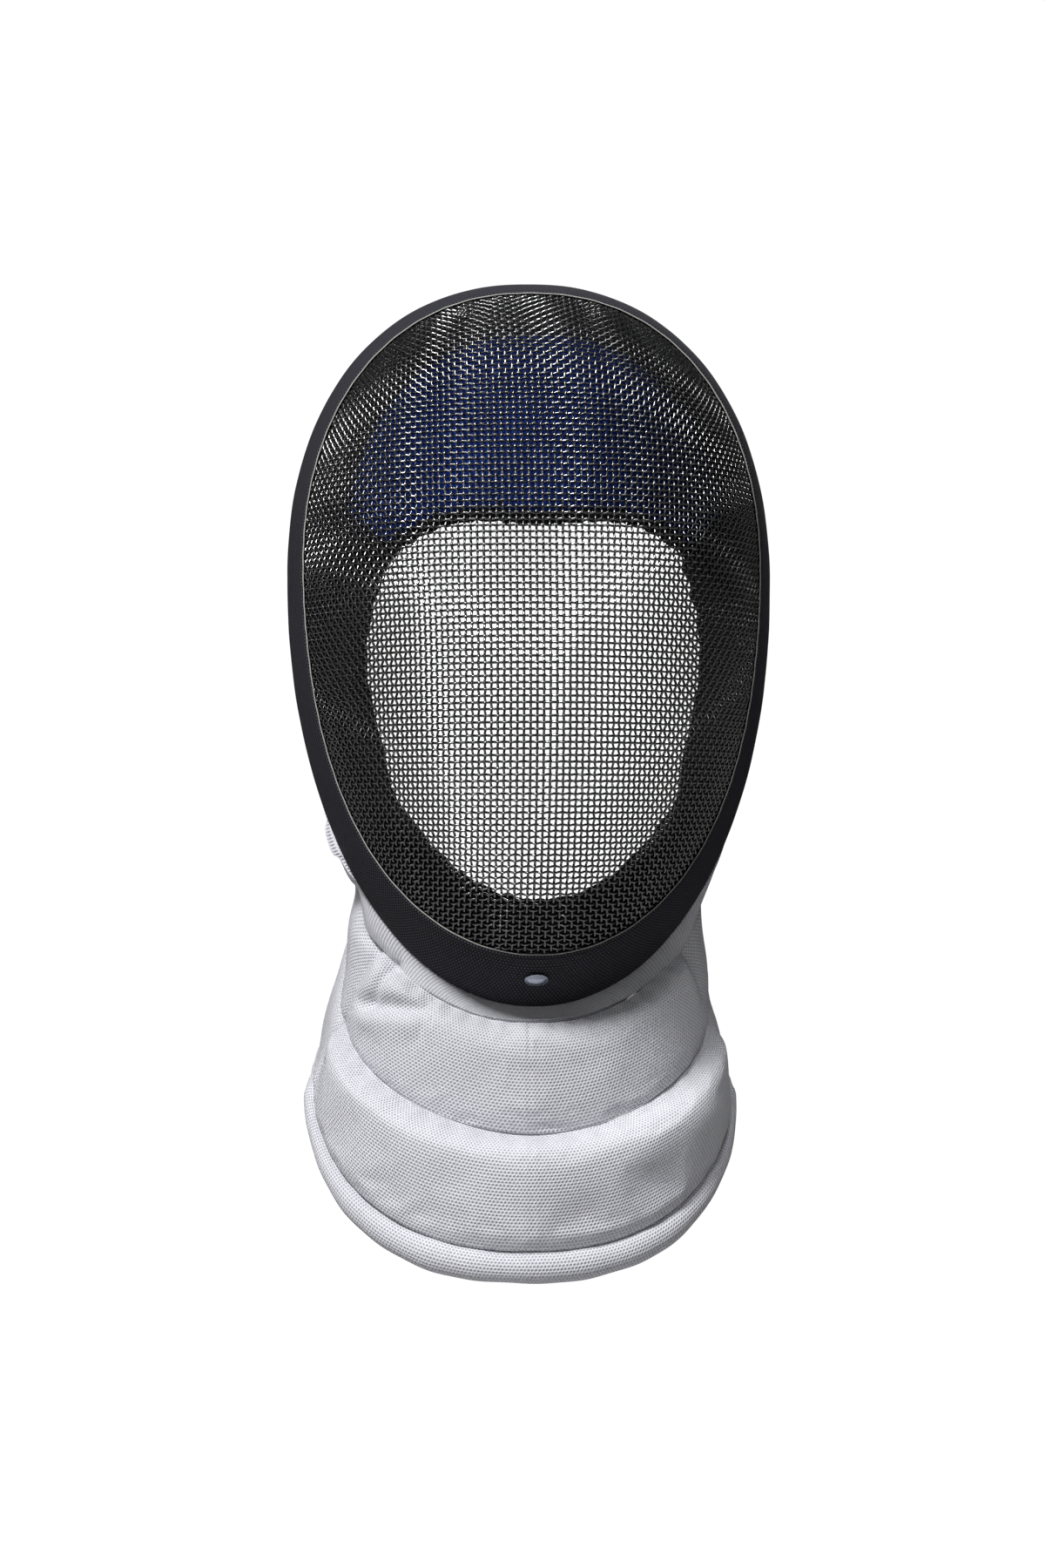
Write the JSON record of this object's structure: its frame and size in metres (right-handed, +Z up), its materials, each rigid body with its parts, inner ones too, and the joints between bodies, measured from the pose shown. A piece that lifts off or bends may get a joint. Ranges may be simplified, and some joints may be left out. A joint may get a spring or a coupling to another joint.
{
  "type": "fencing mask",
  "caption": "Fencing mask with a woven wire bowl bound in tape, a padded liner open at the back, a sprung tongue and a quilted cloth bib.",
  "frame": {"origin": "head seat: the underside of the crown pad on the centre plane, where the top of the head touches", "axes": "+Z up, the face looks along -Y, +X to the right as seen from the mask's front"},
  "size_m": [0.237, 0.2243, 0.4844],
  "materials": {
    "coated_wire": "glossy black coated steel wire in a plain weave",
    "black_tape": "black ribbed woven tape",
    "pale_thread": "pale grey thread",
    "polished_steel": "polished bare steel",
    "navy_cloth": "navy brushed cloth over foam",
    "black_cloth": "black brushed cloth over foam",
    "white_cloth": "white honeycomb-knit cloth over padding"
  },
  "bodies": {
    "root": {"mesh_cage": "coated_wire", "rim_tape": "black_tape", "tape_edge_cord": "pale_thread", "chin_stud": "polished_steel", "back_tongue": "black_cloth", "crown_pad": "black_cloth", "forehead_pad": "navy_cloth", "cheek_pad_right": "black_cloth", "cheek_pad_left": "black_cloth", "chin_pad": "black_cloth", "liner_binding": "black_cloth", "bib_collar": "white_cloth", "bib_upper_channel": "white_cloth", "bib_upper_side_right": "white_cloth", "bib_upper_side_left": "white_cloth", "bib_lower_channel": "white_cloth", "bib_lower_side_right": "white_cloth", "bib_lower_side_left": "white_cloth", "bib_hem": "white_cloth"}
  },
  "joints": []
}
